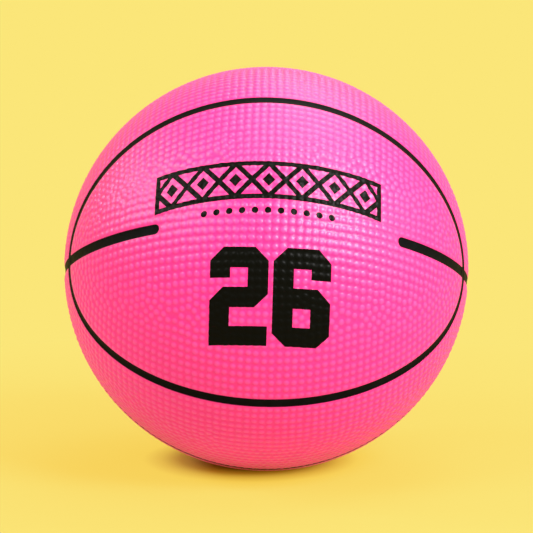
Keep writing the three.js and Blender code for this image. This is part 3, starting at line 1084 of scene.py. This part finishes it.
# Strips in the channels
strip("meridian_strip", ring(meridian_edge), MERIDIAN_STEPS, AS_DRAWN, around=True)
for end, mirror in ENDS:
    strip(f"{end}_oval_strip", ring(oval_edge), OVAL_STEPS, mirror, around=True)
    for side, tip, flip in SIDES:
        dash = equator_band(round_tip(tip), at_edge(oval_edge, -STRIP_HALF))
        strip(f"{end}_{side}_dash", dash, DASH_STEPS, mirror * flip, tip=True)
        link = equator_band(at_edge(oval_edge, STRIP_HALF), at_edge(meridian_edge, STRIP_HALF))
        strip(f"{end}_{side}_link", link, LINK_STEPS, mirror * flip)

valve_housing()
valve_plug()

# The layers inside keep their solids
for node, look in (
    ("carcass_front_half", CARCASS),
    ("carcass_rear_half", CARCASS),
    ("yarn_winding", YARN),
    ("bladder", BUTYL),
):
    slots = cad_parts[node].data.materials
    slots.clear()
    slots.append(look)


# Stage: a pale floor that runs into a backdrop of the same colour, soft lamps, the camera of the photograph

BACKDROP = (0.965, 0.79, 0.19)
FLOOR_BOUNCE = (0.74, 0.52, 0.48)
FLOOR_RADIUS = 6.0
FLOOR_SEGMENTS = 96
# The paper's own glow by distance from the ball, dark round the ball's foot as a painted shadow; the lamps,
# at this level, bring it up to the backdrop
FLOOR_LIGHT = 1.9
GLOW_REACH = 0.3
# Middle of the painted shadow, and the glow's colours outwards from it: near black at the foot, the backdrop
# far off
PAINTED_SHADOW_MIDDLE = (-0.006, 0.014, 0.0)
FLOOR_GLOW_AND_PAINTED_SHADOW = [
    (0.067, (0.06, 0.02, 0.0)),
    (0.09, (0.28, 0.12, 0.006)),
    (0.113, (0.68, 0.40, 0.04)),
    (0.137, (0.91, 0.59, 0.07)),
    (0.33, (0.94, 0.62, 0.085)),
    (1.0, BACKDROP),
]
SKY_STRENGTH = 0.02
# Place, size and power of each lamp
LAMPS = {
    "key": ((0.7, -0.75, 0.8), (0.5, 0.5), 20),
    "overhead": ((0.15, -0.1, 1.25), (0.5, 0.5), 4.0),
    "back": ((0.38, 0.46, 1.0), (1.0, 0.5), 5.2),
    "fill": ((-0.75, -0.6, 0.85), (0.5, 0.5), 7.2),
    "left": ((-1.1, 0.1, 0.7), (0.3, 0.3), 5),
    "right": ((1.05, -0.25, 0.32), (0.8, 0.4), 2.8),
}

IMAGE_WIDTH = 533
FOCAL_PIXELS = 2013.0
SENSOR_WIDTH = 36
CLIP_START = 0.01
CAMERA_DISTANCE = 0.75
CAMERA_AZIMUTH = math.radians(-0.35)
CAMERA_ELEVATION = math.radians(7.0)
AIM_SHIFT = (0.06 * MM, 0.90 * MM)


def seen_directly(tree):
    """1 for rays from the camera and for rays that a glossy or clear surface sends on."""
    path = add(tree, "ShaderNodeLightPath").outputs
    camera, glossy, clear = (path[f"Is {kind} Ray"] for kind in ("Camera", "Glossy", "Transmission"))
    some = add(tree, "ShaderNodeMath", {0: camera, 1: glossy}, operation="ADD").outputs[0]
    return add(tree, "ShaderNodeMath", {0: some, 1: clear}, operation="ADD", use_clamp=True).outputs[0]


def vector_math(tree, operation, inputs):
    return add(tree, "ShaderNodeVectorMath", inputs, operation=operation).outputs


def glow_and_painted_shadow(tree):
    """The colour of the paper's own glow by distance from the ball's foot, darkened near the foot by a
    painted shadow.
    """
    away = vector_math(tree, "DISTANCE", {0: object_place(tree), 1: PAINTED_SHADOW_MIDDLE})["Value"]
    ramp = add(tree, "ShaderNodeValToRGB", {"Fac": ranged(tree, away, (0, GLOW_REACH), (0, 1))})
    stops = ramp.color_ramp.elements
    between = [stops.new(at) for at, _ in FLOOR_GLOW_AND_PAINTED_SHADOW[1:-1]]
    for stop, (at, colour) in zip([stops[0], *between, stops[-1]], FLOOR_GLOW_AND_PAINTED_SHADOW):
        stop.position, stop.color = at, (*colour, 1)
    return ramp.outputs["Color"]


def floor_paper():
    """Matt paper that glows where it is seen, darkened round the ball's foot by a painted shadow, and throws
    back a duller colour.
    """
    made, tree, shader = material("floor_paper")
    glow_and_shadow = glow_and_painted_shadow(tree)
    rest = vector_math(tree, "SUBTRACT", {0: BACKDROP, 1: glow_and_shadow})[0]
    lit = vector_math(tree, "SCALE", {0: rest, "Scale": 1 / FLOOR_LIGHT})[0]
    seen = seen_directly(tree)
    set_inputs(tree, shader, {
        "Base Color": mixed(tree, seen, FLOOR_BOUNCE, lit),
        "Roughness": 0.9,
        "Specular IOR Level": 0,
    })
    shine = add(tree, "ShaderNodeEmission", {"Color": glow_and_shadow, "Strength": seen}).outputs[0]
    both = add(tree, "ShaderNodeAddShader", {0: shader.outputs[0], 1: shine}).outputs[0]
    set_inputs(tree, tree.nodes["Material Output"], {"Surface": both})
    return made


def stage_floor():
    disc = bmesh.new()
    bmesh.ops.create_circle(disc, cap_ends=True, segments=FLOOR_SEGMENTS, radius=FLOOR_RADIUS)
    mesh = bpy.data.meshes.new("floor")
    disc.to_mesh(mesh)
    disc.free()
    mesh.materials.append(floor_paper())
    floor = bpy.data.objects.new("floor", mesh)
    floor.location.z = FLOOR_HEIGHT
    bpy.context.collection.objects.link(floor)


def sky():
    world = bpy.data.worlds.new("studio")
    world.use_nodes = True
    tree = world.node_tree
    colour = mixed(tree, seen_directly(tree), (SKY_STRENGTH,) * 3, BACKDROP)
    set_inputs(tree, tree.nodes["Background"], {"Color": colour})
    bpy.context.scene.world = world


def soft_light(name, place, size, power):
    """An area lamp that looks at the ball."""
    lamp = bpy.data.lights.new(name, "AREA")
    lamp.shape = "RECTANGLE"
    lamp.size, lamp.size_y = size
    lamp.energy = power
    made = bpy.data.objects.new(name, lamp)
    made.location = place
    made.rotation_euler = (-Vector(place)).to_track_quat("-Z", "Y").to_euler()
    bpy.context.collection.objects.link(made)


def photograph_camera():
    camera = bpy.data.objects.new("camera", bpy.data.cameras.new("camera"))
    camera.data.sensor_width = SENSOR_WIDTH
    camera.data.lens = SENSOR_WIDTH * FOCAL_PIXELS / IMAGE_WIDTH
    camera.data.clip_start = CLIP_START
    towards = Vector((
        math.sin(CAMERA_AZIMUTH) * math.cos(CAMERA_ELEVATION),
        -math.cos(CAMERA_AZIMUTH) * math.cos(CAMERA_ELEVATION),
        math.sin(CAMERA_ELEVATION),
    ))
    turned = (-towards).to_track_quat("-Z", "Y")
    camera.rotation_euler = turned.to_euler()
    camera.location = towards * CAMERA_DISTANCE + turned @ Vector((*AIM_SHIFT, 0))
    bpy.context.collection.objects.link(camera)
    bpy.context.scene.camera = camera


stage_floor()
sky()
for name, (place, size, power) in LAMPS.items():
    soft_light(name, place, size, power)
photograph_camera()
bpy.context.scene.view_settings.view_transform = "Standard"
